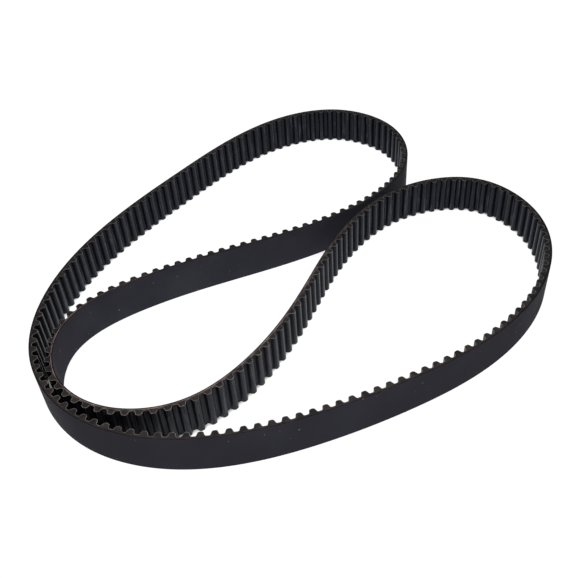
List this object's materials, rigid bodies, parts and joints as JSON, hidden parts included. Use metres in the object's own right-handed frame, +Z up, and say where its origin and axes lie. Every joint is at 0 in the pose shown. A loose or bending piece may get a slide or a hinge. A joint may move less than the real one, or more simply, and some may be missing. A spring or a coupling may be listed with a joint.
{
  "type": "timing belt",
  "caption": "Endless toothed timing belt with a smooth back and fabric-faced teeth, lying loose on its edge, folded into two lobes.",
  "frame": {"origin": "centre of the bounding box at the bottom, on the surface that the belt's lower cut edge rests on", "axes": "+Z up, along the belt's width, from its lower cut edge to its upper one; +X and +Y span the plane that the belt is folded in, with the lobes towards +X and +Y and the bend that joins them towards -X and -Y"},
  "size_m": [0.3491, 0.3455, 0.028],
  "materials": {
    "backing_rubber": "ground matte charcoal rubber with a faint blue cast",
    "tensile_cords": "fibreglass cord with a brown adhesive dip",
    "tooth_rubber": "cut edge of black rubber, matte",
    "facing_fabric": "black woven nylon facing with a low sheen"
  },
  "bodies": {
    "root": {"backing_rubber": "backing_rubber", "tensile_cords": "tensile_cords", "tooth_rubber": "tooth_rubber", "facing_fabric": "facing_fabric"}
  },
  "joints": []
}
